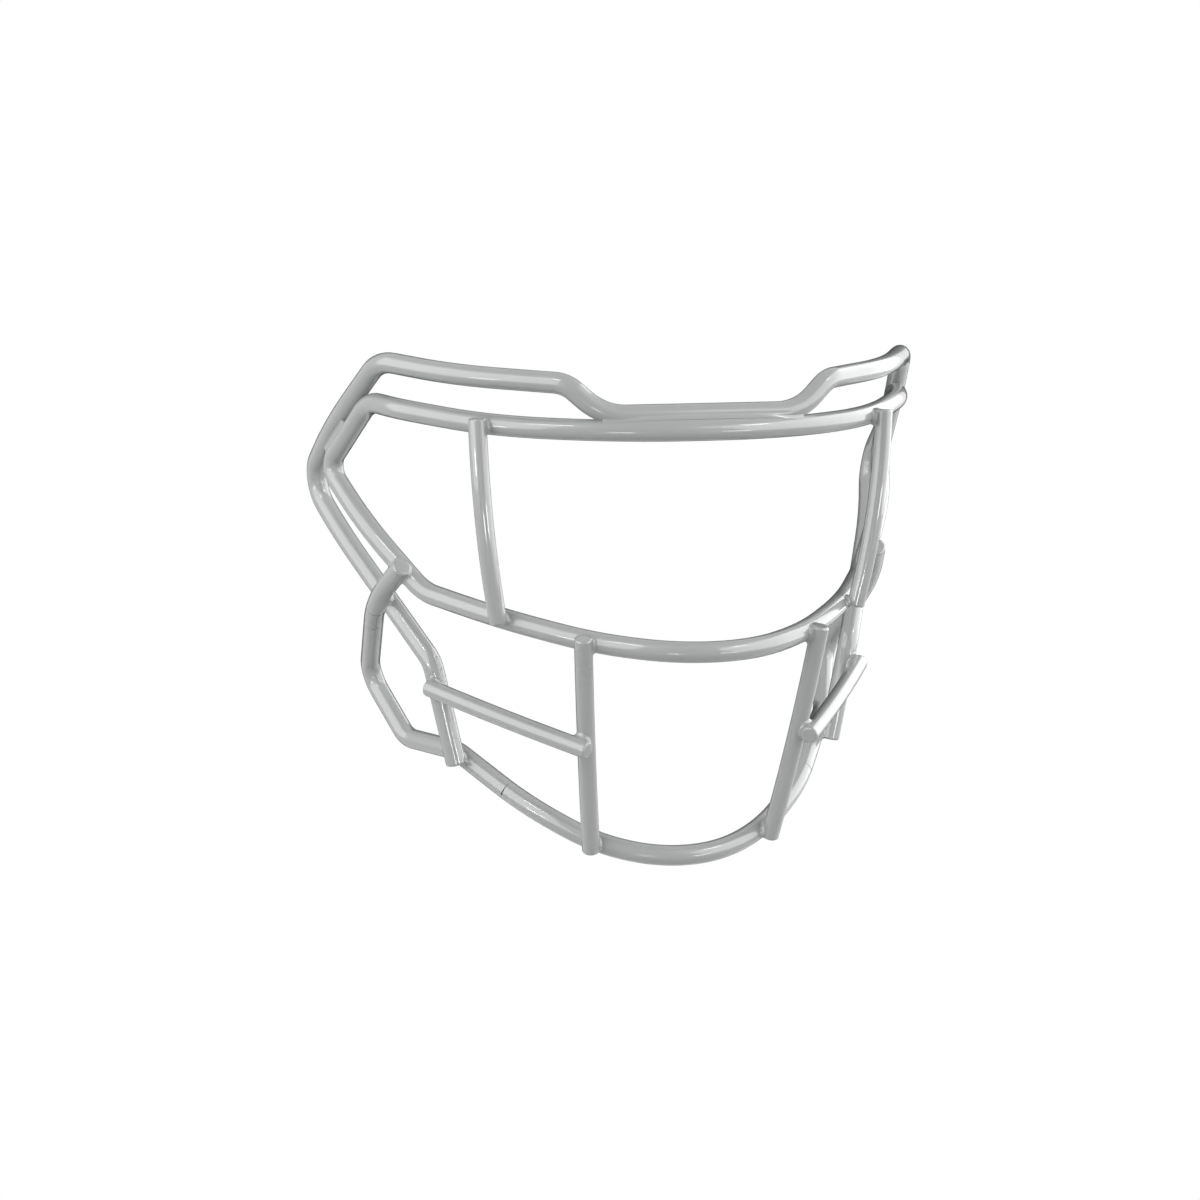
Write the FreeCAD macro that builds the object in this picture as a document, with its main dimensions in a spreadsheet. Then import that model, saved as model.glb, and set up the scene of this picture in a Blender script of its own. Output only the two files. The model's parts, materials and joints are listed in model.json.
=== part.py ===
import FreeCAD, Part
import math
import os
import Sketcher
from FreeCAD import Placement, Rotation, Vector

# Football helmet facemask: a welded cage of bent round wire and thin rods under one coat.
# Millimetres. +Z is up, +Y points from the front of the mask to the back of the head, and
# +X is the wearer's left. The origin is the middle of the brow wire's dip, on its axis.
# Every diameter is the finished one, coat included.

SIZES = [
    ("wire_radius", 3.35, "finished radius of the main wire"),
    ("rod_radius", 2.9, "finished radius of the thin rods"),
    ("rim_rounding", 0.9, "rounding of the rim of a cut end"),
    ("seam_groove", 0.2, "depth of the fine groove round a butt seam"),
    ("weld_fillet", 1.2, "fillet of the weld where one wire or rod crosses another"),
    ("seam_fillet", 2.0, "fillet of the weld between two wires that lie side by side"),
    ("seam_bite", 0.05, "how far the edge of a side-by-side weld runs into the wires"),
    ("weld_clearance", 0.02, "film between a weld and the wires that it joins"),
    ("brow_gap", 0.1, "gap between brow wire and ring at the middle of the dip"),
    ("brow_slope", 44.0, "degrees down from straight ahead, from the brow wire to the ring"),
    ("brow_weld_reach", 33.0, "from the middle of the dip to the end of its weld"),
    ("temple_station", 23.5, "from the ring's upper corner down its side to the contact"),
    ("temple_angle", 60.5, "degrees round the ring's side from outwards up to the contact"),
    ("temple_sink", 0.25, "how deep the brow wire is set into the ring at the temple"),
    ("temple_weld_before", 9.0, "from the temple contact forwards to the end of its weld"),
    ("temple_weld_behind", 9.0, "from the temple contact backwards to the end of its weld"),
    ("leg_seat_z", -64.6, "height at which the lower wire crosses the brow wire's leg"),
    ("leg_seat_sink", 3.0, "how deep the lower wire is set into the brow wire's leg"),
    ("leg_seat_turn", -19.5, "degrees round from outwards to the lower wire at that crossing"),
    ("leg_seat_rise", -11.0, "degrees up from level to the lower wire at that crossing"),
    ("hook_seat_z", -53.2, "height at which the lower wire's end meets the ring"),
    ("hook_seat_sink", 3.6, "how deep the lower wire's end is set into the ring"),
    ("hook_seat_turn", -30.0, "degrees round from outwards to the lower wire at its end"),
    ("hook_seat_rise", -15.0, "degrees up from level to the lower wire at its end"),
    ("foot_seat_sink", 1.05, "how deep the brow wire's foot is set into the jaw wire"),
    ("foot_seat_turn", 149.0, "degrees round from outwards to the jaw wire at the foot"),
    ("foot_seat_rise", 8.0, "degrees up from level to the jaw wire at the foot"),
    ("chin_bar_length", 130.4, "along the chin bar from seam to seam"),
    ("jaw_wire_length", 105.9, "along a jaw wire from the chin seam to the elbow piece"),
    ("chin_slot_width", 0.55, "widest opening of the slot that a chin seam leaves"),
    ("chin_slot_point", 0.06, "opening of that slot at its narrow end"),
    ("chin_slot_reach", 2.3, "from the middle of that slot to each end, across the wire"),
    ("chin_slot_floor", 1.6, "from the wire's axis to the floor of that slot"),
    ("chin_slot_turn", -72.3, "degrees round from outwards to the way that slot faces"),
    ("chin_slot_rise", 8.7, "degrees up from level to the way that slot faces"),
    ("elbow_length", 8.0, "along an elbow piece from seam to seam"),
    ("upper_rod_sink", 0.75, "how deep an upper vertical is set into the wires behind it"),
    ("upper_rod_top_x", 65.0, "where the upper vertical crosses the ring's top bar"),
    ("upper_rod_foot_x", 57.0, "where the upper vertical crosses the nose bar"),
    ("upper_rod_over_top", 2.7, "upper vertical past its crossing with the top bar"),
    ("upper_rod_over_foot", -0.2, "upper vertical past its crossing with the nose bar"),
    ("upper_rod_bow", 1.9, "outward bow of the upper vertical between its crossings"),
    ("lower_rod_sink", 1.45, "how deep a lower vertical is set into the wires behind it"),
    ("lower_rod_top_x", 36.5, "where the lower vertical crosses the nose bar"),
    ("lower_rod_foot_x", 28.5, "where the lower vertical crosses the chin bar"),
    ("lower_rod_over_top", 3.2, "lower vertical past its crossing with the nose bar"),
    ("lower_rod_over_foot", 1.4, "lower vertical past its crossing with the chin bar"),
    ("lower_rod_bow", 0.7, "outward bow of the lower vertical between its crossings"),
    ("strut_sink", 0.9, "how deep a side strut is set into the wire and rod behind it"),
    ("strut_back_z", -90.5, "height at which the side strut crosses the brow wire's leg"),
    ("strut_front_z", -102.9, "height at which the side strut crosses the lower vertical"),
    ("strut_over_back", -0.4, "side strut past its crossing with the brow wire's leg"),
    ("strut_over_front", 4.4, "side strut past its crossing with the lower vertical"),
    ("strut_bow", 0.6, "outward bow of the side strut between its crossings"),
]

# The bends of the left half of each wire, from the middle of the mask outwards. Each has a
# name, the place of its corner as measured from another place, the bend's radius on the
# wire's axis, and that other place. GENTLE stands for the largest radius that the runs on
# both sides leave room for.
GENTLE = 0.0

RING_BENDS = [
    ("ring_brow", 25.5, 0.0, 0.0, GENTLE, "ring_seat"),
    ("ring_forehead", 64.0, 16.0, -3.5, GENTLE, "middle"),
    ("ring_temple", 87.5, 44.0, 0.5, GENTLE, "middle"),
    ("ring_upper_corner", 93.0, 59.5, 2.0, 15.0, "middle"),
    ("ring_back_corner", 101.0, 89.0, -21.5, 6.0, "middle"),
    ("ring_cheek", 93.0, 69.5, -39.0, GENTLE, "middle"),
    ("ring_lower_corner", 77.5, 52.0, -60.0, 17.0, "middle"),
    ("ring_nose_side", 59.0, 23.0, -65.5, GENTLE, "middle"),
    ("ring_nose_front", 34.5, -1.0, -71.0, GENTLE, "middle"),
    ("ring_nose_middle", 12.0, -14.5, -73.0, GENTLE, "middle"),
]

BROW_BENDS = [
    ("brow_dip_end", 32.5, 0.0, 0.0, 19.0, "middle"),
    ("brow_shoulder", 43.5, 3.5, 10.0, 9.5, "middle"),
    ("brow_bar", 73.5, 24.5, 12.0, GENTLE, "middle"),
    ("brow_upper_corner", -9.5, -29.5, 23.0, 15.0, "temple_seat"),
    ("brow_temple", 0.0, 0.0, 0.0, GENTLE, "temple_seat"),
    ("brow_back_corner", 3.0, 25.5, -19.5, 11.0, "temple_seat"),
    ("brow_cheek", -7.0, -17.0, -17.0, GENTLE, "brow_back_corner"),
    ("brow_lower_corner", 74.5, 53.5, -83.5, 9.5, "middle"),
    ("brow_foot", 67.0, 52.0, -118.5, GENTLE, "middle"),
]

LOWER_BENDS = [
    ("chin_middle", 10.0, 11.5, -144.5, GENTLE, "middle"),
    ("chin_side", 28.5, 20.0, -140.5, GENTLE, "middle"),
    ("jaw_front", 47.5, 34.0, -130.0, GENTLE, "middle"),
    ("jaw_inner_bend", 3.0, 4.5, 2.5, 17.0, "foot_seat"),
    ("jaw_corner", -8.7, -19.2, -19.8, 9.5, "jaw_back"),
    ("jaw_back", -4.2, 30.9, -30.0, 8.5, "elbow"),
    ("elbow", 1.0, 0.5, 0.5, GENTLE, "leg_seat"),
    ("hook_end", -1.0, -3.0, 2.5, GENTLE, "hook_seat"),
]

# The share of a run that one bend may take up at the most, with a bend at its other end.
BEND_SHARE = 0.495

# The share of a rod's length between its crossings that its bow takes up. The rest is
# straight, at the ends.
BOW_SHARE = 0.8

# An edge belongs to a surface when it lies within this distance of it.
TOUCH = 1e-3

# The lengths by which a rod runs on past its first and its last crossing.
OVERHANGS = {
    "upper_rod": ("upper_rod_over_top", "upper_rod_over_foot"),
    "lower_rod": ("lower_rod_over_top", "lower_rod_over_foot"),
    "strut": ("strut_over_back", "strut_over_front"),
}

# The rounding of the rim at the start and at the end of each wire and rod.
RIMS = {
    "ring": (None, None),
    "brow": ("rim_rounding", "rim_rounding"),
    "lower": ("rim_rounding", "rim_rounding"),
    "chin_bar": (None, None),
    "jaw_wire": (None, None),
    "elbow": (None, None),
    "hook_wire": (None, "rim_rounding"),
    "upper_rod": ("rim_rounding", "rim_rounding"),
    "lower_rod": ("rim_rounding", "rim_rounding"),
    "strut": ("rim_rounding", "rim_rounding"),
}

# Each weld at an end of a wire: its name, the wire that ends there, the wire that it is
# welded to, and whether it is the first wire's first or last end.
WELDS_AT_ENDS = [
    ("upper_vertical_top_weld", "upper_rod", "ring", 0),
    ("upper_vertical_foot_weld", "upper_rod", "ring", -1),
    ("lower_vertical_top_weld", "lower_rod", "ring", 0),
    ("lower_vertical_foot_weld", "lower_rod", "lower", -1),
    ("side_strut_back_weld", "strut", "brow", 0),
    ("side_strut_front_weld", "strut", "lower_rod", -1),
    ("brow_foot_weld", "brow", "lower", -1),
    ("hook_end_weld", "lower", "ring", -1),
]

# A side-by-side weld is drawn through this many sections on each side of its middle.
SEAM_STEPS = 4

FRONT = Vector(0, -1, 0)
UP = Vector(0, 0, 1)
DOWN = Vector(0, 0, -1)
LEFT = Vector(1, 0, 0)

doc = FreeCAD.newDocument("Facemask")
sheet = doc.addObject("Spreadsheet::Sheet", "Sizes")
pieces = []


def fill_sheet():
    """Gives every driving size a cell of its own, under its own name."""
    rows = list(SIZES)
    for name, x, y, z, bend, start in RING_BENDS + BROW_BENDS + LOWER_BENDS:
        rows.append((name + "_x", x, "outwards from " + start))
        rows.append((name + "_y", y, "backwards from " + start))
        rows.append((name + "_z", z, "upwards from " + start))
        if bend != GENTLE:
            rows.append((name + "_bend", bend, "bend radius on the wire's axis"))
    for row, (name, value, meaning) in enumerate(rows, start=1):
        sheet.set("A%d" % row, meaning)
        sheet.set("B%d" % row, str(value))
        sheet.setAlias("B%d" % row, name)
    doc.recompute()


def size(name):
    """The value in the cell of that name."""
    return float(sheet.get(name))


def direction(turn, rise):
    """A unit vector from its angle round from outwards and its angle up from level."""
    turn = math.radians(turn)
    rise = math.radians(rise)
    level = math.cos(rise)
    return Vector(level * math.cos(turn), level * math.sin(turn), math.sin(rise))


def offset(name):
    """The place of a bend's corner, as measured from the place that it starts from."""
    return Vector(size(name + "_x"), size(name + "_y"), size(name + "_z"))


def place(bends, places):
    """Works out where the bends of a wire's left half are."""
    for bend in bends:
        places[bend[0]] = places[bend[-1]] + offset(bend[0])


def whole_wire(bends, places):
    """Corners and bend radii of both halves, from the right half's far end to the left's."""
    corners = [places[name] for name, *_ in bends]
    radii = [GENTLE if row[4] == GENTLE else size(row[0] + "_bend") for row in bends]
    right = [Vector(-corner.x, corner.y, corner.z) for corner in reversed(corners)]
    return right + corners, radii[::-1] + radii


def bend_arc(before, corner, after, radius, share=BEND_SHARE):
    """The arc that rounds a corner between two runs, of which it may use a share."""
    back = before - corner
    ahead = after - corner
    half_turn = (math.pi - back.getAngle(ahead)) / 2
    room = share * min(back.Length, ahead.Length)
    setback = room if radius == GENTLE else min(radius * math.tan(half_turn), room)
    axis_radius = setback / math.tan(half_turn)
    back.normalize()
    ahead.normalize()
    inwards = (back + ahead).normalize()
    middle = corner + inwards * (math.hypot(axis_radius, setback) - axis_radius)
    return Part.Arc(corner + back * setback, middle, corner + ahead * setback)


def bent_path(corners, radii, closed):
    """Straight runs between corners, joined by tangent arcs."""
    count = len(corners)
    bends = range(count) if closed else range(1, count - 1)
    arcs = []
    for i in bends:
        arcs.append(bend_arc(corners[i - 1], corners[i], corners[(i + 1) % count], radii[i]))
    start = arcs[-1].EndPoint if closed else corners[0]
    edges = []
    for arc in arcs:
        edges.append(Part.LineSegment(start, arc.StartPoint).toShape())
        edges.append(arc.toShape())
        start = arc.EndPoint
    if not closed:
        edges.append(Part.LineSegment(start, corners[-1]).toShape())
    return Part.Wire(edges)


def path_between(path, start, end):
    """The stretch of a path between two distances along it."""
    edges = []
    travelled = 0.0
    for edge in path.Edges:
        first = max(start - travelled, 0.0)
        last = min(end - travelled, edge.Length)
        if last - first > TOUCH:
            near = edge.getParameterByLength(first)
            far = edge.getParameterByLength(last)
            edges.append(edge.Curve.toShape(near, far))
        travelled += edge.Length
    return Part.Wire(edges)


def seam_place(path, distance):
    """A distance along a path, moved onto a tangent point that the seam's groove would meet."""
    travelled = 0.0
    for edge in path.Edges:
        travelled += edge.Length
        if abs(travelled - distance) < 2 * size("seam_groove"):
            return travelled
    return distance


def tangent_at(path, point):
    """The direction of a path at the point of it that is nearest to a given one."""
    edge = min(path.Edges, key=lambda edge: edge.distToShape(Part.Vertex(point))[0])
    return edge.tangentAt(edge.Curve.parameter(point))


def crossing(path, axis, value, facing):
    """Where a path passes through a plane square to an axis, furthest in a direction."""
    reach = path.BoundBox.DiagonalLength
    plane = Part.Plane(axis * value, axis).toShape(-reach, reach, -reach, reach)
    points = [vertex.Point for vertex in path.section(plane).Vertexes]
    return max(points, key=lambda point: point.dot(facing))


def nearest(path, point):
    """The point of a path that is nearest to a given one."""
    return path.distToShape(Part.Vertex(point))[1][0][0]


def bowed_path(first, last, outwards, over_first, over_last, bow):
    """A shallow bend between two crossings, with straight ends carried on past each."""
    rise = bow / (1 - BOW_SHARE / 2)
    corner = (first + last) * 0.5 + outwards * rise
    back = first - corner
    ahead = last - corner
    half_turn = (math.pi - back.getAngle(ahead)) / 2
    radius = BOW_SHARE * min(back.Length, ahead.Length) / math.tan(half_turn)
    start = first + back.normalize() * over_first
    end = last + ahead.normalize() * over_last
    arc = bend_arc(start, corner, end, radius, 1.0)
    runs = [Part.LineSegment(start, arc.StartPoint), arc, Part.LineSegment(arc.EndPoint, end)]
    return Part.Wire([run.toShape() for run in runs])


def ring_path(places):
    """The axis of the ring round the eye opening."""
    slope = math.radians(size("brow_slope"))
    drop = 2 * size("wire_radius") + size("brow_gap")
    places["ring_seat"] = Vector(0, -math.cos(slope), -math.sin(slope)) * drop
    place(RING_BENDS, places)
    return bent_path(*whole_wire(RING_BENDS, places), closed=True)


def brow_path(places):
    """The axis of the brow wire, which lies against the outside of the ring's side."""
    upper = places["ring_upper_corner"]
    side = (places["ring_back_corner"] - upper).normalize()
    outwards = (LEFT - side * side.x).normalize()
    upwards = outwards.cross(side)
    angle = math.radians(size("temple_angle"))
    clear = 2 * size("wire_radius") - size("temple_sink")
    contact = upper + side * size("temple_station")
    lean = outwards * math.cos(angle) + upwards * math.sin(angle)
    places["temple_seat"] = contact + lean * clear
    place(BROW_BENDS, places)
    return bent_path(*whole_wire(BROW_BENDS, places), closed=False)


def seat(name, point):
    """The place of a wire's axis beside another wire's, and set into that wire."""
    clear = 2 * size("wire_radius") - size(name + "_sink")
    return point + direction(size(name + "_turn"), size(name + "_rise")) * clear


def lower_path(places, ring, brow):
    """The axis of the lower wire, which crosses the brow wire's legs and ends on the ring."""
    on_leg = crossing(brow, UP, size("leg_seat_z"), LEFT)
    on_ring = crossing(ring, UP, size("hook_seat_z"), LEFT)
    places["leg_seat"] = seat("leg_seat", on_leg)
    places["hook_seat"] = seat("hook_seat", on_ring)
    places["foot_seat"] = seat("foot_seat", places["brow_foot"])
    place(reversed(LOWER_BENDS), places)
    return bent_path(*whole_wire(LOWER_BENDS, places), closed=False)


def stand_off(path, point, along, clear):
    """The place of a rod's axis straight in front of a crossing, and the way it faces."""
    outwards = tangent_at(path, point).cross(along).normalize()
    if outwards.dot(FRONT) < 0:
        outwards = outwards * -1
    return point + outwards * clear, outwards


def rod_path(name, back, first, front, last, first_clear, last_clear):
    """The axis of a rod that lies on two crossings, one with each of two paths."""
    first_seat, first_facing = stand_off(back, first, last - first, first_clear)
    last_seat, last_facing = stand_off(front, last, last - first, last_clear)
    along = (last_seat - first_seat).normalize()
    outwards = first_facing + last_facing
    outwards = (outwards - along * outwards.dot(along)).normalize()
    overs = [size(key) for key in OVERHANGS[name]]
    return bowed_path(first_seat, last_seat, outwards, *overs, size(name + "_bow"))


def vertical_path(name, top_path, foot_path):
    """The axis of an upright rod, from a wire above to a wire below."""
    top = crossing(top_path, LEFT, size(name + "_top_x"), UP if name == "upper_rod" else DOWN)
    foot = crossing(foot_path, LEFT, size(name + "_foot_x"), DOWN)
    clear = size("wire_radius") + size("rod_radius") - size(name + "_sink")
    return rod_path(name, top_path, top, foot_path, foot, clear, clear)


def strut_path(brow, lower_rod):
    """The axis of a side strut, from the brow wire's leg to the lower vertical."""
    back = crossing(brow, UP, size("strut_back_z"), LEFT)
    front = crossing(lower_rod, UP, size("strut_front_z"), LEFT)
    back_clear = size("wire_radius") + size("rod_radius") - size("strut_sink")
    front_clear = 2 * size("rod_radius") - size("strut_sink")
    return rod_path("strut", brow, back, lower_rod, front, back_clear, front_clear)


def rim_names(shape, end, radius):
    """The names of the round edges that bound the flat face at one end of a wire."""
    names = []
    for number, edge in enumerate(shape.Edges, start=1):
        if not isinstance(edge.Curve, Part.Circle):
            continue
        centred = edge.Curve.Center.distanceToPoint(end) < TOUCH
        if centred and abs(edge.Curve.Radius - radius) < TOUCH:
            names.append("Edge%d" % number)
    return names


def bent_wire(name, path, radius_name, first_rim=None, last_rim=None):
    """A length of wire: a round section carried along a path, with rounded end rims."""
    line = doc.addObject("Part::Feature", name + "_line")
    line.Shape = path
    body = doc.addObject("PartDesign::Body", name)
    binder = body.newObject("PartDesign::SubShapeBinder", name + "_axis")
    binder.Support = [(line, ("",))]
    doc.recompute()
    section = body.newObject("Sketcher::SketchObject", name + "_section")
    section.AttachmentSupport = [(binder, "Edge1")]
    section.MapMode = "NormalToEdge"
    section.addGeometry(Part.Circle(Vector(), UP, size(radius_name)), False)
    section.addConstraint(Sketcher.Constraint("Coincident", 0, 3, -1, 1))
    radius = section.addConstraint(Sketcher.Constraint("Radius", 0, size(radius_name)))
    section.setExpression("Constraints[%d]" % radius, "Sizes." + radius_name)
    pipe = body.newObject("PartDesign::AdditivePipe", name + "_pipe")
    pipe.Profile = section
    pipe.Spine = (binder, ["Edge%d" % (i + 1) for i in range(len(path.Edges))])
    pipe.Transition = "Right corner"
    doc.recompute()
    base = pipe
    ends = path.OrderedVertexes[0].Point, path.OrderedVertexes[-1].Point
    for end, rim in zip(ends, (first_rim, last_rim)):
        if rim is None:
            continue
        rounding = body.newObject("PartDesign::Fillet", name + "_rim")
        rounding.Base = (base, rim_names(base.Shape, end, size(radius_name)))
        rounding.setExpression("Radius", "Sizes." + rim)
        doc.recompute()
        base = rounding
    return body


def cut_out(name, blank, *others):
    """A wire without the room that the wires it is welded to take up."""
    piece = blank
    for number, other in enumerate(others, start=1):
        last = number == len(others)
        cut = doc.addObject("Part::Cut", name if last else "%s_cut_%d" % (name, number))
        cut.Base = piece
        cut.Tool = other
        cut.Refine = False
        piece = cut
    doc.recompute()
    return piece


def seam_groove(name, path, end):
    """A fine ring that is cut round the wires on both sides of a butt seam."""
    edge = path.OrderedEdges[end]
    at_end = edge.LastParameter if end else edge.FirstParameter
    ring = doc.addObject("Part::Torus", name)
    ring.setExpression("Radius1", "Sizes.wire_radius")
    ring.setExpression("Radius2", "Sizes.seam_groove")
    ring.Placement = Placement(edge.valueAt(at_end), Rotation(UP, edge.tangentAt(at_end)))
    return ring


def seam_slot(name, path):
    """The thin open wedge that the two wires of a chin seam leave between their ends."""
    edge = path.OrderedEdges[-1]
    along = edge.tangentAt(edge.LastParameter)
    facing = direction(size("chin_slot_turn"), size("chin_slot_rise"))
    outwards = (facing - along * facing.dot(along)).normalize()
    upwards = outwards.cross(along)
    slot = doc.addObject("Part::Wedge", name)
    slot.setExpression("Xmin", "-Sizes.chin_slot_width / 2")
    slot.setExpression("Xmax", "Sizes.chin_slot_width / 2")
    slot.setExpression("X2min", "-Sizes.chin_slot_point / 2")
    slot.setExpression("X2max", "Sizes.chin_slot_point / 2")
    slot.setExpression("Ymin", "-Sizes.chin_slot_reach")
    slot.setExpression("Ymax", "Sizes.chin_slot_reach")
    for bottom, top in (("Zmin", "Zmax"), ("Z2min", "Z2max")):
        slot.setExpression(bottom, "Sizes.chin_slot_floor")
        slot.setExpression(top, "2 * Sizes.wire_radius")
    axes = Rotation(along, upwards, outwards, "ZXY")
    slot.Placement = Placement(edge.valueAt(edge.LastParameter), axes)
    return slot


def crossing_weld(name, first, second, point):
    """The fillet of weld metal round the place where two wires run into each other."""
    reach = 4 * size("wire_radius")
    joined = first.fuse(second)
    edges = []
    for edge in joined.Edges:
        middle = edge.valueAt((edge.FirstParameter + edge.LastParameter) / 2)
        if middle.distanceToPoint(point) > reach:
            continue
        vertex = Part.Vertex(middle)
        gaps = [vertex.distToShape(shape.Shells[0])[0] for shape in (first, second)]
        if max(gaps) < TOUCH:
            edges.append(edge)
    filled = joined.makeFillet(size("weld_fillet"), edges)
    weld = doc.addObject("Part::Feature", name)
    weld.Shape = trimmed(filled, first, second)
    return weld


def trimmed(metal, first, second):
    """Weld metal without the wires, and clear of them by the thickness of a film."""
    for wire in (first, second):
        metal = metal.cut(wire.makeOffsetShape(size("weld_clearance"), TOUCH))
    return metal


def seam_section(first, second, along):
    """The section of a side-by-side weld: a web with a hollow face on each side."""
    radius = size("wire_radius")
    fillet = size("seam_fillet")
    apart = (second - first) * 0.5
    middle = first + apart
    half = apart.Length
    across = apart.normalize()
    outwards = along.cross(across).normalize()
    centre = math.sqrt((radius + fillet) ** 2 - half ** 2)
    waist = centre - fillet
    edge_across = half * fillet / (radius + fillet)
    edge_out = centre * radius / (radius + fillet) - size("seam_bite")
    corners = []
    for side, end in ((1, -1), (1, 1), (-1, 1), (-1, -1)):
        corners.append(middle + outwards * (side * edge_out) + across * (end * edge_across))
    front = Part.Arc(corners[0], middle + outwards * waist, corners[1])
    back = Part.Arc(corners[2], middle - outwards * waist, corners[3])
    edges = [front, Part.LineSegment(corners[1], corners[2])]
    edges += [back, Part.LineSegment(corners[3], corners[0])]
    return Part.Wire([edge.toShape() for edge in edges])


def seam_weld(name, path, other_path, points, first, second):
    """The weld metal in the hollow between two wires that lie side by side."""
    sections = []
    for point in points:
        beside = nearest(other_path, point)
        sections.append(seam_section(point, beside, tangent_at(path, point)))
    web = Part.makeLoft(sections, True, False)
    weld = doc.addObject("Part::Feature", name)
    weld.Shape = trimmed(web, first, second)
    return weld


def renamed(piece, label):
    """A piece under the name that its file takes."""
    piece.Label = label
    return piece


def mirror(piece, name):
    """The same piece on the wearer's right."""
    copy = doc.addObject("Part::Mirroring", name)
    copy.Source = piece
    copy.Normal = LEFT
    copy.Base = Vector()
    doc.recompute()
    return copy


def lengths_of(lower):
    """The stretches of the lower wire that are pieces of their own, by name."""
    middle = lower.Length / 2
    start = seam_place(lower, middle + size("chin_bar_length") / 2)
    stretches = {"chin_bar": path_between(lower, 2 * middle - start, start)}
    for name in ("jaw_wire", "elbow"):
        end = seam_place(lower, start + size(name + "_length"))
        stretches[name] = path_between(lower, start, end)
        start = end
    stretches["hook_wire"] = path_between(lower, start, lower.Length)
    return stretches


def draw_paths(places):
    """The axis of every wire and rod, by name."""
    paths = {"ring": ring_path(places)}
    paths["brow"] = brow_path(places)
    paths["lower"] = lower_path(places, paths["ring"], paths["brow"])
    paths["upper_rod"] = vertical_path("upper_rod", paths["ring"], paths["ring"])
    paths["lower_rod"] = vertical_path("lower_rod", paths["ring"], paths["lower"])
    paths["strut"] = strut_path(paths["brow"], paths["lower_rod"])
    paths.update(lengths_of(paths["lower"]))
    return paths


def build_wires(paths):
    """Every wire and rod at its full length, before the welded places are cut out."""
    blanks = {}
    for name, rims in RIMS.items():
        radius_name = "rod_radius" if name in OVERHANGS else "wire_radius"
        blanks[name] = bent_wire(name + "_blank", paths[name], radius_name, *rims)
    return blanks


def left_pieces(blanks, seams, chin_slot):
    """The pieces of the left half, each cut clear of the wires that it is welded to."""
    ring = blanks["ring"]
    brow = blanks["brow"]
    chin_bar = blanks["chin_bar"]
    lower_seam, upper_seam = seams
    return [
        cut_out("jaw_wire_left", blanks["jaw_wire"], brow, chin_slot, lower_seam),
        cut_out("elbow_piece_left", blanks["elbow"], brow, lower_seam, upper_seam),
        cut_out("hook_wire_left", blanks["hook_wire"], brow, ring, upper_seam),
        cut_out("upper_vertical_left", blanks["upper_rod"], ring),
        cut_out("lower_vertical_left", blanks["lower_rod"], chin_bar, ring),
        cut_out("side_strut_left", blanks["strut"], brow, blanks["lower_rod"]),
    ]


def left_crossing_welds(paths, solids):
    """The welds of the left half where two wires or rods cross."""
    welds = []
    for name, upon, across, end in WELDS_AT_ENDS:
        point = paths[upon].OrderedVertexes[end].Point
        welds.append(crossing_weld(name + "_left", solids[upon], solids[across], point))
    on_leg = crossing(paths["brow"], UP, size("leg_seat_z"), LEFT)
    weld = crossing_weld("hook_leg_weld_left", solids["brow"], solids["lower"], on_leg)
    return welds + [weld]


def seam_welds(paths, places, solids):
    """The welds between the brow wire and the ring, at the dip and at the left temple."""
    reach = size("brow_weld_reach")
    shares = [i / SEAM_STEPS for i in range(-SEAM_STEPS, SEAM_STEPS + 1)]
    dip = [crossing(paths["brow"], LEFT, reach * share, DOWN) for share in shares]
    wires = solids["brow"], solids["ring"]
    brow_weld = seam_weld("brow_weld", paths["brow"], paths["ring"], dip, *wires)
    along = tangent_at(paths["brow"], places["temple_seat"])
    temple = []
    for share in shares:
        stretch = size("temple_weld_before") if share < 0 else size("temple_weld_behind")
        temple.append(nearest(paths["brow"], places["temple_seat"] + along * (share * stretch)))
    temple_weld = seam_weld("temple_weld_left", paths["brow"], paths["ring"], temple, *wires)
    return brow_weld, temple_weld


def faults():
    """What is wrong with the document, as a list of plain words."""
    found = []
    for item in doc.Objects:
        if "Invalid" in item.State or "Error" in item.State:
            found.append(item.Name + " failed")
    for piece in pieces:
        if piece.Shape.isNull() or not piece.Shape.isValid():
            found.append(piece.Name + " has no valid shape")
    return found


def main():
    """Builds every piece and writes each to a file of its own."""
    fill_sheet()
    places = {"middle": Vector()}
    paths = draw_paths(places)
    blanks = build_wires(paths)
    solids = {name: blank.Shape for name, blank in blanks.items()}

    seams = [
        seam_groove("elbow_lower_seam_left", paths["elbow"], 0),
        seam_groove("elbow_upper_seam_left", paths["elbow"], -1),
    ]
    chin_slot = seam_slot("chin_slot_left", paths["chin_bar"])
    chin_slots = chin_slot, mirror(chin_slot, "chin_slot_right")

    middle_weld, temple_weld = seam_welds(paths, places, solids)
    pieces.append(renamed(blanks["ring"], "eye_port_ring"))
    pieces.append(cut_out("brow_wire", blanks["brow"], blanks["ring"]))
    pieces.append(cut_out("chin_bar", blanks["chin_bar"], *chin_slots))
    pieces.append(middle_weld)
    left = left_pieces(blanks, seams, chin_slot) + left_crossing_welds(paths, solids)
    for piece in left + [temple_weld]:
        pieces.append(piece)
        pieces.append(mirror(piece, piece.Name.replace("left", "right")))
    doc.recompute()

    wrong = faults()
    if wrong:
        raise SystemExit("not written: " + ", ".join(wrong))
    os.makedirs("parts", exist_ok=True)
    for piece in pieces:
        solid_sizes = [round(solid.Volume, 1) for solid in piece.Shape.Solids]
        print(piece.Label, solid_sizes)
        piece.Shape.exportStep("parts/%s.step" % piece.Label)


main()
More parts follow.
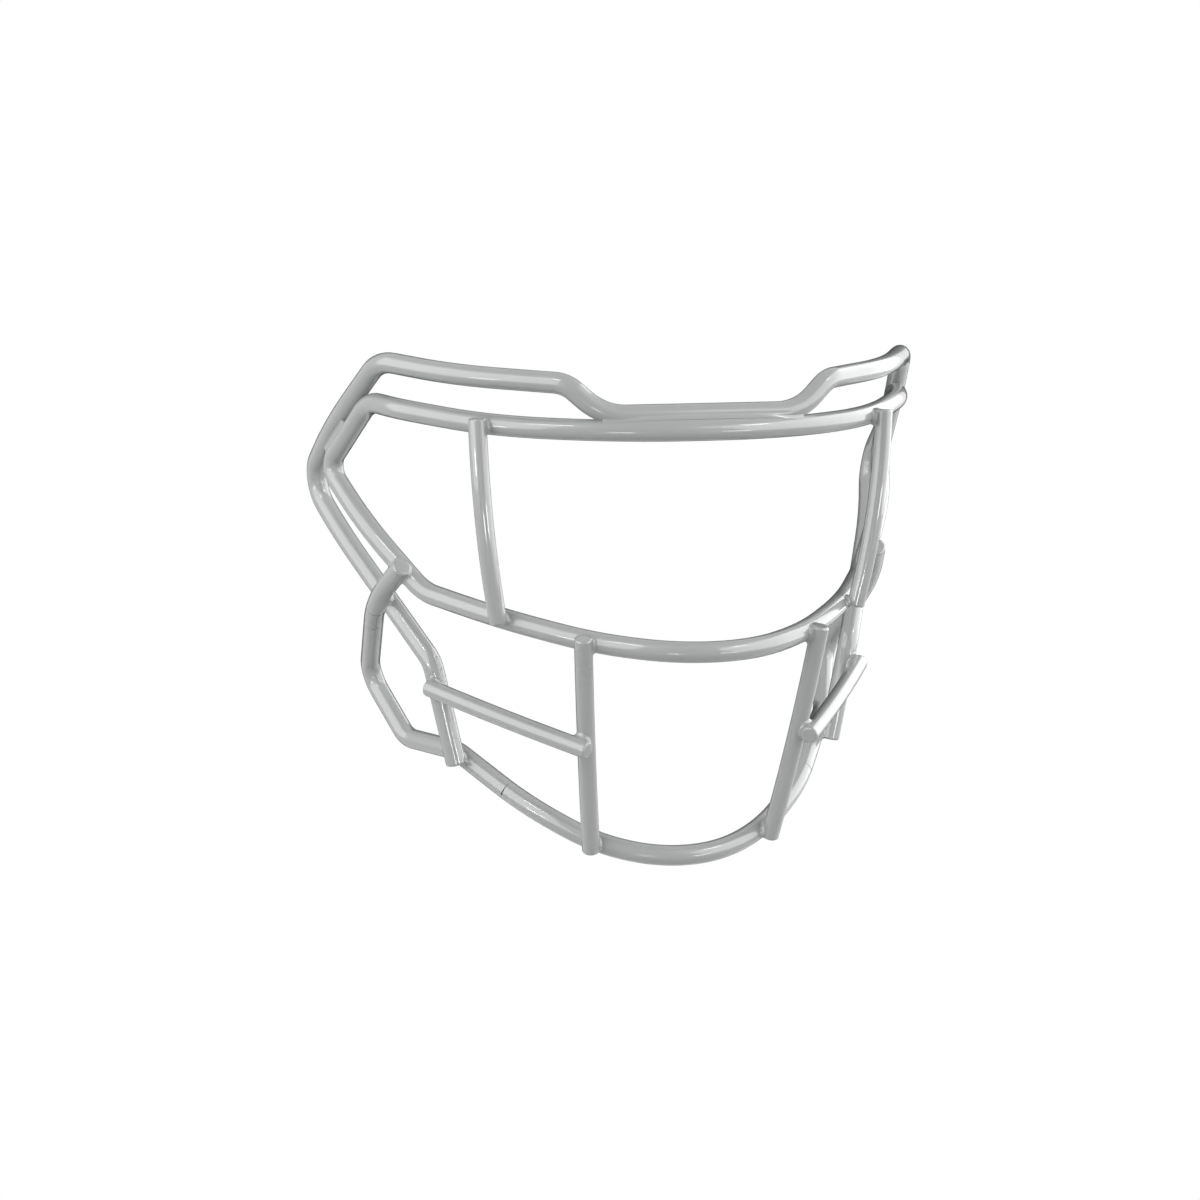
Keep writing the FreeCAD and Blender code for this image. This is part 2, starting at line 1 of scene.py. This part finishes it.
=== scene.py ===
import bpy
import json
import math
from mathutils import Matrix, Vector

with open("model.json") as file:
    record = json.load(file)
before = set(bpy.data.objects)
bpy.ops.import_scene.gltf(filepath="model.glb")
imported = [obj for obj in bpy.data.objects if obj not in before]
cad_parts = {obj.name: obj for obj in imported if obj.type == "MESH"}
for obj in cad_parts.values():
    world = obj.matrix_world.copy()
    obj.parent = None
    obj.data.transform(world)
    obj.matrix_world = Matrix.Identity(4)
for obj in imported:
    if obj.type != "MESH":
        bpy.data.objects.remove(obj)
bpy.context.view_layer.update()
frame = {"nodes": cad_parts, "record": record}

# A football helmet facemask: a welded wire cage under one gloss silver-grey coat. Metres,
# +Z up, and the front of the mask faces -Y.

# The camera stands where the photograph was taken from: its angles round and above the
# mask, its distance from the point that it looks at, and its lens on a 36 mm sensor.
CAMERA_AZIMUTH = math.radians(-17.719)
CAMERA_ELEVATION = math.radians(8.663)
CAMERA_DISTANCE = 0.85256
CAMERA_TARGET = Vector((0.0, 0.10498, -0.07408))
CAMERA_LENS = 71.34
SENSOR_WIDTH = 36.0

# The middle of the mask, which the lights point at.
MIDDLE = Vector((0.0, 0.05, -0.06))

# The lights stand this far from the middle, in metres.
LIGHT_DISTANCE = 1.0

# Two large soft boxes: name, degrees round from the camera and up, size, watts.
WALLS = [
    ("left_wall", -58.0, 19.0, (1.3, 1.15), 12.0),
    ("right_wall", 93.0, 19.0, (2.2, 1.2), 21.0),
]

# Small lights that leave the narrow highlights: degrees round from the camera and up.
SPARKS = [(-45.0, -6.0), (3.0, -14.0), (45.0, -9.0), (-26.0, 44.0), (62.0, 42.0)]
SPARK_SIZE = (0.2, 0.07)
SPARK_POWER = 0.65

# The sky's strength as light, from straight below to straight above.
SKY_BELOW = 0.10
SKY_ABOVE = 0.04

# The coat's colour, as linear red, green and blue.
COAT = (0.355, 0.369, 0.366)

# The coat's surface: how far its shade and its gloss drift either way, how coarse that
# drift and the orange peel are, and how deep the peel is, in metres.
SHADE_DRIFT = (0.94, 1.06)
GLOSS_DRIFT = (0.9, 1.15)
DRIFT_SCALE = 60.0
PEEL_SCALE = 900.0
PEEL_DEPTH = 0.0001

# Each finish's peel strength and roughness.
FINISHES = {
    "wire_coat": (0.05, 0.30),
    "rod_coat": (0.05, 0.28),
    "weld_coat": (0.10, 0.34),
}

# The floor's radius and place, and the dark card's size, distance and degrees round.
FLOOR_RADIUS = 0.34
FLOOR_PLACE = (0.0, 0.05, -0.5)
CARD_SIZE = (1.7, 1.9, 1.0)
CARD_DISTANCE = 1.2
CARD_AZIMUTH = -172.0


def link(tree, from_socket, to_socket):
    """Joins two sockets of a node tree."""
    tree.links.new(from_socket, to_socket)


def coat_material(name, peel, roughness):
    """The gloss coat, with faint orange peel and a faint drift of shade and gloss."""
    material = bpy.data.materials.new(name)
    material.use_nodes = True
    tree = material.node_tree
    nodes = tree.nodes
    shader = nodes["Principled BSDF"]
    shader.inputs["Metallic"].default_value = 0.0
    shader.inputs["IOR"].default_value = 1.5
    shader.inputs["Coat Weight"].default_value = 1.0
    shader.inputs["Coat Roughness"].default_value = 0.03

    place = nodes.new("ShaderNodeTexCoord")
    drift = nodes.new("ShaderNodeTexNoise")
    drift.inputs["Scale"].default_value = DRIFT_SCALE
    drift.inputs["Detail"].default_value = 3.0
    link(tree, place.outputs["Object"], drift.inputs["Vector"])
    shade = nodes.new("ShaderNodeMapRange")
    shade.inputs["To Min"].default_value = SHADE_DRIFT[0]
    shade.inputs["To Max"].default_value = SHADE_DRIFT[1]
    link(tree, drift.outputs["Fac"], shade.inputs["Value"])
    colour = nodes.new("ShaderNodeVectorMath")
    colour.operation = "SCALE"
    colour.inputs[0].default_value = COAT
    link(tree, shade.outputs["Result"], colour.inputs["Scale"])
    link(tree, colour.outputs["Vector"], shader.inputs["Base Color"])

    gloss = nodes.new("ShaderNodeMapRange")
    gloss.inputs["To Min"].default_value = roughness * GLOSS_DRIFT[0]
    gloss.inputs["To Max"].default_value = roughness * GLOSS_DRIFT[1]
    link(tree, drift.outputs["Fac"], gloss.inputs["Value"])
    link(tree, gloss.outputs["Result"], shader.inputs["Roughness"])

    skin = nodes.new("ShaderNodeTexNoise")
    skin.inputs["Scale"].default_value = PEEL_SCALE
    skin.inputs["Detail"].default_value = 1.0
    link(tree, place.outputs["Object"], skin.inputs["Vector"])
    bump = nodes.new("ShaderNodeBump")
    bump.inputs["Strength"].default_value = peel
    bump.inputs["Distance"].default_value = PEEL_DEPTH
    link(tree, skin.outputs["Fac"], bump.inputs["Height"])
    link(tree, bump.outputs["Normal"], shader.inputs["Normal"])
    return material


def dress_nodes():
    """Gives every node of the mask its finish."""
    slots = {row["node"]: row["material_slot"] for row in frame["record"]["subparts"]}
    coats = {name: coat_material(name, *finish) for name, finish in FINISHES.items()}
    for name, node in frame["nodes"].items():
        for slot in node.material_slots:
            slot.material = coats[slots[name]]


def add_camera():
    """The camera, aimed at the mask from the photograph's viewing angle."""
    level = math.cos(CAMERA_ELEVATION)
    back = Vector((
        math.sin(CAMERA_AZIMUTH) * level,
        -math.cos(CAMERA_AZIMUTH) * level,
        math.sin(CAMERA_ELEVATION),
    ))
    data = bpy.data.cameras.new("camera")
    data.lens = CAMERA_LENS
    data.sensor_width = SENSOR_WIDTH
    camera = bpy.data.objects.new("camera", data)
    camera.location = CAMERA_TARGET + back * CAMERA_DISTANCE
    camera.rotation_euler = back.to_track_quat("Z", "Y").to_euler()
    bpy.context.scene.collection.objects.link(camera)
    bpy.context.scene.camera = camera


def around(azimuth, elevation, distance):
    """A place round the middle of the mask: degrees round from the camera and up, and metres."""
    azimuth = math.radians(azimuth) + CAMERA_AZIMUTH
    elevation = math.radians(elevation)
    level = math.cos(elevation)
    way = Vector((level * math.sin(azimuth), -level * math.cos(azimuth), math.sin(elevation)))
    return MIDDLE + way * distance


def add_area_light(name, azimuth, elevation, size, power):
    """A soft box that points at the middle of the mask."""
    data = bpy.data.lights.new(name, "AREA")
    data.shape = "RECTANGLE"
    data.size, data.size_y = size
    data.energy = power
    light = bpy.data.objects.new(name, data)
    light.location = around(azimuth, elevation, LIGHT_DISTANCE)
    aim = light.location - MIDDLE
    light.rotation_euler = aim.to_track_quat("Z", "Y").to_euler()
    bpy.context.scene.collection.objects.link(light)


def add_lights():
    """The two soft boxes and the small lights."""
    for wall in WALLS:
        add_area_light(*wall)
    for number, (azimuth, elevation) in enumerate(SPARKS):
        add_area_light("spark_%d" % number, azimuth, elevation, SPARK_SIZE, SPARK_POWER)


def add_world():
    """A white surround to the eye and in reflections, and a soft sky as light."""
    world = bpy.data.worlds.new("studio")
    bpy.context.scene.world = world
    world.use_nodes = True
    tree = world.node_tree
    nodes = tree.nodes
    shade = nodes["Background"]
    seen = nodes.new("ShaderNodeBackground")
    seen.inputs["Color"].default_value = (1.0, 1.0, 1.0, 1.0)
    seen.inputs["Strength"].default_value = 1.0

    place = nodes.new("ShaderNodeTexCoord")
    split = nodes.new("ShaderNodeSeparateXYZ")
    sky = nodes.new("ShaderNodeMapRange")
    sky.inputs["From Min"].default_value = -1.0
    sky.inputs["To Min"].default_value = SKY_BELOW
    sky.inputs["To Max"].default_value = SKY_ABOVE
    link(tree, place.outputs["Generated"], split.inputs["Vector"])
    link(tree, split.outputs["Z"], sky.inputs["Value"])
    link(tree, sky.outputs["Result"], shade.inputs["Strength"])

    path = nodes.new("ShaderNodeLightPath")
    first = nodes.new("ShaderNodeMath")
    first.operation = "MAXIMUM"
    either = nodes.new("ShaderNodeMath")
    either.operation = "MAXIMUM"
    link(tree, path.outputs["Is Camera Ray"], first.inputs[0])
    link(tree, path.outputs["Is Glossy Ray"], first.inputs[1])
    link(tree, first.outputs["Value"], either.inputs[0])
    link(tree, path.outputs["Is Transmission Ray"], either.inputs[1])
    mix = nodes.new("ShaderNodeMixShader")
    link(tree, either.outputs["Value"], mix.inputs["Fac"])
    link(tree, shade.outputs["Background"], mix.inputs[1])
    link(tree, seen.outputs["Background"], mix.inputs[2])
    link(tree, mix.outputs["Shader"], nodes["World Output"].inputs["Surface"])


def stage_material(name, grey, roughness, specular):
    """A plain matt grey for the floor and the card."""
    material = bpy.data.materials.new(name)
    material.use_nodes = True
    shader = material.node_tree.nodes["Principled BSDF"]
    shader.inputs["Base Color"].default_value = (grey, grey, grey, 1.0)
    shader.inputs["Roughness"].default_value = roughness
    shader.inputs["Specular IOR Level"].default_value = specular
    return material


def add_floor():
    """A pale round floor well below the mask, out of the photograph's view."""
    bpy.ops.mesh.primitive_circle_add(
        vertices=96, radius=FLOOR_RADIUS, fill_type="NGON", location=FLOOR_PLACE
    )
    floor = bpy.context.object
    floor.name = "floor"
    floor.data.materials.append(stage_material("floor_paper", 0.9, 0.9, 0.5))


def add_dark_card():
    """A dark card behind the mask, which only its gloss sees: it darkens the wires' outlines."""
    place = around(CARD_AZIMUTH, 0.0, CARD_DISTANCE)
    bpy.ops.mesh.primitive_plane_add(size=1.0, location=place)
    card = bpy.context.object
    card.name = "dark_card"
    card.scale = CARD_SIZE
    card.rotation_euler = (MIDDLE - place).to_track_quat("Z", "Y").to_euler()
    for kind in ("camera", "diffuse", "transmission", "shadow", "volume_scatter"):
        setattr(card, "visible_" + kind, False)
    card.data.materials.append(stage_material("card_felt", 0.02, 1.0, 0.0))


dress_nodes()
add_camera()
add_world()
add_floor()
add_dark_card()
add_lights()
bpy.context.scene.view_settings.view_transform = "Standard"
